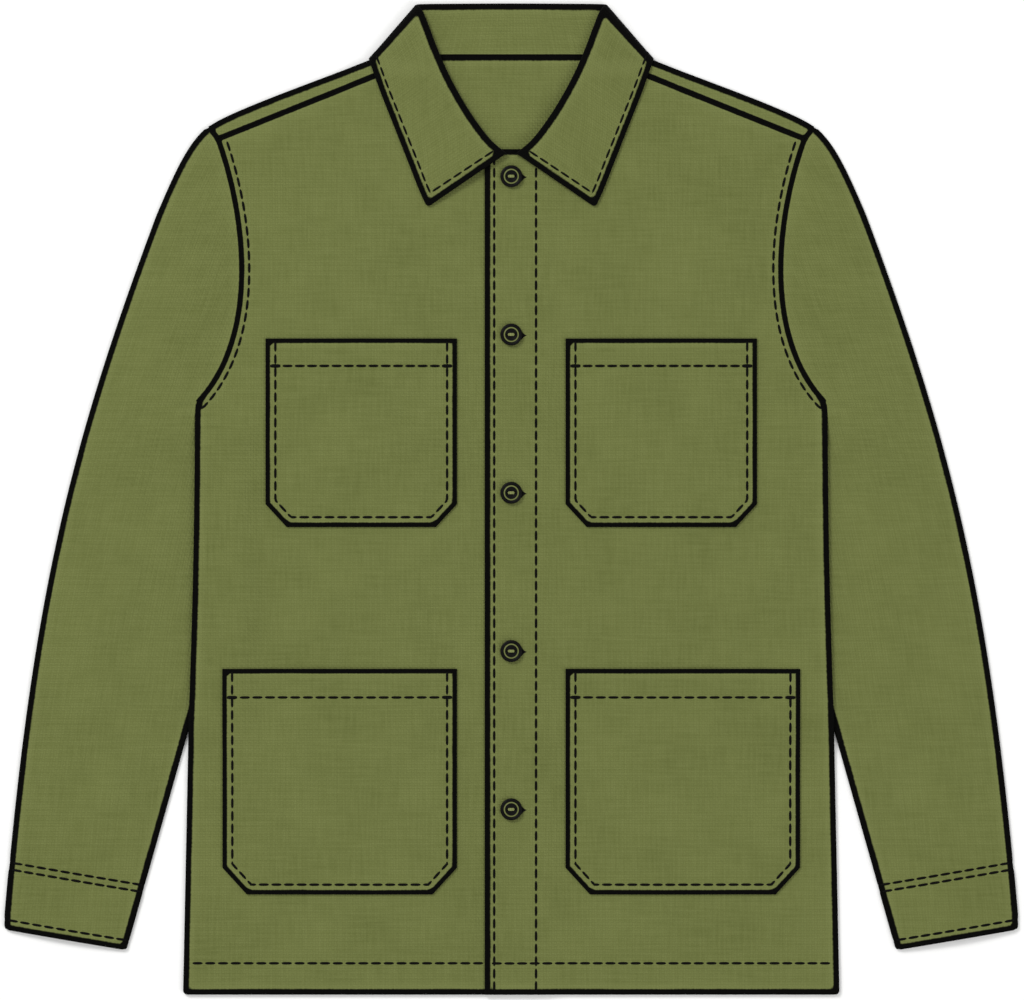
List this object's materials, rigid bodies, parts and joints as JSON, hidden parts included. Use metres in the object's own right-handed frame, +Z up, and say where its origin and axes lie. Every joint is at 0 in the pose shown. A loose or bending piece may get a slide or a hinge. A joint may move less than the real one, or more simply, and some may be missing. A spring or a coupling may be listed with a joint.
{
  "type": "chore jacket",
  "caption": "Canvas work jacket laid flat with its front up, buttoned, with a turned-down collar, set-in sleeves and patch pockets on the chest and hips.",
  "frame": {"origin": "on the surface that the jacket lies on, under the middle of its outline", "axes": "+Z up out of the front, +X towards the wearer's left cuff, +Y from the hem towards the collar"},
  "size_m": [0.832, 0.813, 0.0089],
  "materials": {
    "canvas": "olive cotton canvas, matt",
    "button": "black horn look, satin"
  },
  "bodies": {
    "root": {"back": "canvas", "front_left": "canvas", "front_right": "canvas", "sleeve_left": "canvas", "sleeve_right": "canvas", "collar": "canvas", "pocket_chest_left": "canvas", "pocket_chest_right": "canvas", "pocket_hip_left": "canvas", "pocket_hip_right": "canvas", "button_1": "button", "button_2": "button", "button_3": "button", "button_4": "button", "button_5": "button"}
  },
  "joints": []
}
